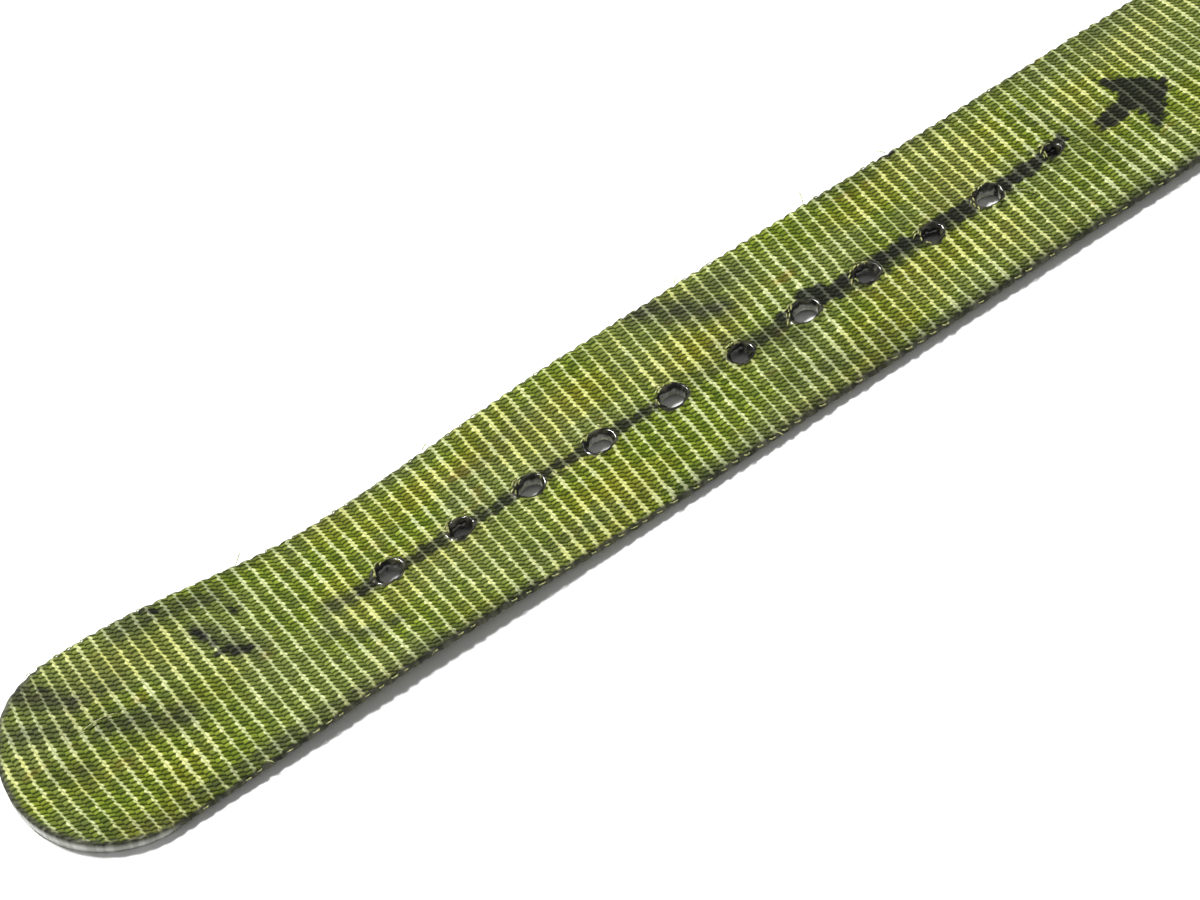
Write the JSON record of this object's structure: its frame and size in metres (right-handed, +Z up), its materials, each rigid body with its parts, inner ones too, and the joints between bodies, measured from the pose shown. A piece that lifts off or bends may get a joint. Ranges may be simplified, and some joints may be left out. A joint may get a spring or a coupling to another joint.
{
  "type": "tourniquet",
  "caption": "Limb tourniquet of ribbed webbing with sealed prong holes, roller buckle, lined guard, keepers and a sliding pressure pad.",
  "frame": {"origin": "middle of the footprint, on the surface that the strap lies on", "axes": "+X along the strap from its free tip to the buckle, +Y across it, +Z up"},
  "size_m": [0.466, 0.044, 0.0128],
  "materials": {
    "webbing": "ribbed nylon webbing, olive with pale yellow ribs, inked and scuffed",
    "keeper_webbing": "plain-woven nylon webbing, olive",
    "guard_webbing": "twill-woven nylon webbing, olive",
    "felt": "pressed wool felt, dull green-grey",
    "thread": "twisted polyester sewing thread, pale olive",
    "buckle_steel": "nickel-plated steel wire, worn satin",
    "roller_steel": "nickel-plated steel tube, turned satin",
    "pad_cover": "plain cotton duck, olive",
    "pad_binding": "ribbed cotton tape, dark olive",
    "pad_foam": "closed-cell foam, buff",
    "pad_plate": "hard fibreboard, black"
  },
  "bodies": {
    "strap": {"strap_buckle_end": "webbing", "fold_stitching": "thread", "fixed_keeper": "keeper_webbing", "fixed_keeper_tack": "thread", "guard_tab": "guard_webbing", "guard_felt": "felt"},
    "free_end": {"strap_free_end": "webbing"},
    "buckle": {"buckle_frame": "buckle_steel"},
    "roller": {"buckle_roller": "roller_steel"},
    "prong": {"buckle_prong": "buckle_steel"},
    "keeper": {"sliding_keeper": "keeper_webbing", "sliding_keeper_tack": "thread"},
    "pad": {"pad_cover_upper": "pad_cover", "pad_cover_lower": "pad_cover", "pad_binding": "pad_binding", "pad_core": "pad_foam", "pad_plate": "pad_plate", "pad_bridge_front": "keeper_webbing", "pad_bridge_rear": "keeper_webbing", "pad_bridge_tacks": "thread"}
  },
  "joints": [
    {"name": "strap_fold", "type": "hinge", "parent": "strap", "child": "free_end", "pos_m": [-0.003, 0, 0.005], "axis": [0, 1, 0], "range_deg": [0, 150]},
    {"name": "buckle_swing", "type": "hinge", "parent": "strap", "child": "buckle", "pos_m": [0.207, 0, 0.00815], "axis": [0, -1, 0], "range_deg": [0, 60]},
    {"name": "prong_swing", "type": "hinge", "parent": "buckle", "child": "prong", "pos_m": [0.207, 0, 0.00815], "axis": [0, -1, 0], "range_deg": [0, 85]},
    {"name": "roller_spin", "type": "hinge", "parent": "buckle", "child": "roller", "pos_m": [0.227, 0, 0.00815], "axis": [0, 1, 0], "continuous": true},
    {"name": "keeper_slide", "type": "slide", "parent": "strap", "child": "keeper", "axis": [1, 0, 0], "range_m": [-0.007, 0.006]},
    {"name": "pad_slide", "type": "slide", "parent": "strap", "child": "pad", "axis": [1, 0, 0], "range_m": [-0.04, 0]}
  ]
}
